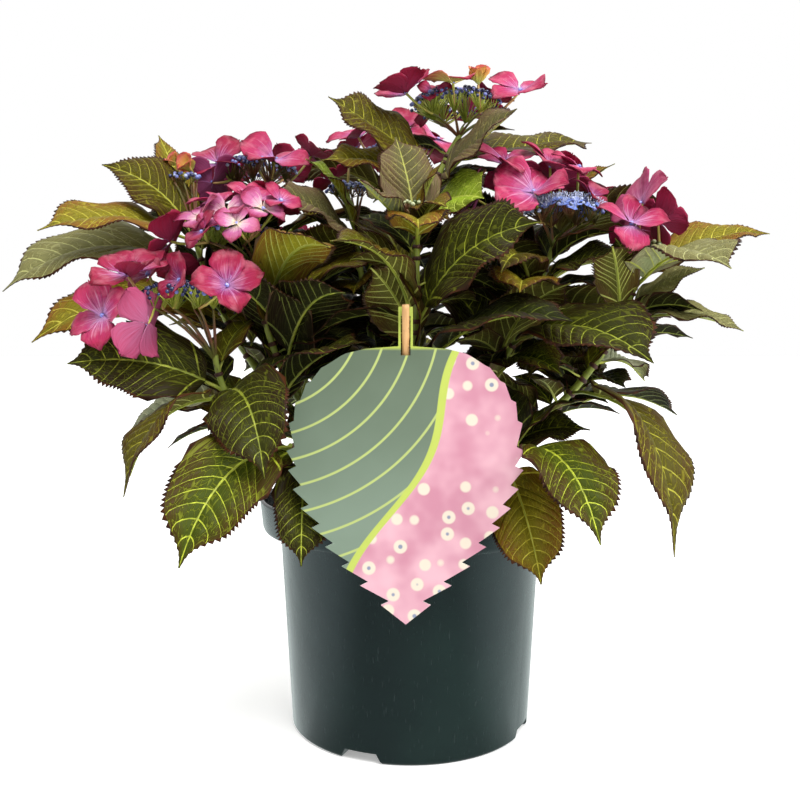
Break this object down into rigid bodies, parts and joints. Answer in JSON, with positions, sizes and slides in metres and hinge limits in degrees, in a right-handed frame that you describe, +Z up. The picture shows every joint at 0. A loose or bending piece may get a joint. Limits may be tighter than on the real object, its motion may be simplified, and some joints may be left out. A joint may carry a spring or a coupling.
{
  "type": "potted hydrangea shrub",
  "caption": "Lacecap garden hydrangea in flower, with pink florets over blue buds and dark serrated leaves, in a round nursery pot with a leaf-shaped hang label.",
  "frame": {"origin": "centre of the pot's flat underside, on the pot's axis", "axes": "+Z up along the pot's axis, -Y towards the hang label, +X to the right of a viewer who faces the label"},
  "size_m": [0.5655, 0.4065, 0.4999],
  "materials": {
    "pot_plastic": "gloss",
    "moist_peat": "matte",
    "old_wood": "matte",
    "green_cane": "satin",
    "foliage": "satin",
    "label_card": "satin",
    "bamboo": "matte"
  },
  "bodies": {
    "root": {"pot": "pot_plastic", "soil": "moist_peat", "stump": "old_wood", "hang_label": "label_card", "label_stick": "bamboo", "cane_top": "green_cane", "shoot_top": "foliage", "cane_far_left": "green_cane", "shoot_far_left": "foliage", "cane_low_left": "green_cane", "shoot_low_left": "foliage", "cane_mid_left": "green_cane", "shoot_mid_left": "foliage", "cane_back_left": "green_cane", "shoot_back_left": "foliage", "cane_back_centre": "green_cane", "shoot_back_centre": "foliage", "cane_front": "green_cane", "shoot_front": "foliage", "cane_right": "green_cane", "shoot_right": "foliage", "cane_far_right": "green_cane", "shoot_far_right": "foliage", "cane_rear": "green_cane", "shoot_rear": "foliage", "cane_rear_left": "green_cane", "shoot_rear_left": "foliage", "cane_rear_right": "green_cane", "shoot_rear_right": "foliage", "cane_low_front_right": "green_cane", "shoot_low_front_right": "foliage", "cane_low_front_left": "green_cane", "shoot_low_front_left": "foliage", "cane_low_rear_right": "green_cane", "shoot_low_rear_right": "foliage", "cane_low_rear_left": "green_cane", "shoot_low_rear_left": "foliage"}
  },
  "joints": []
}
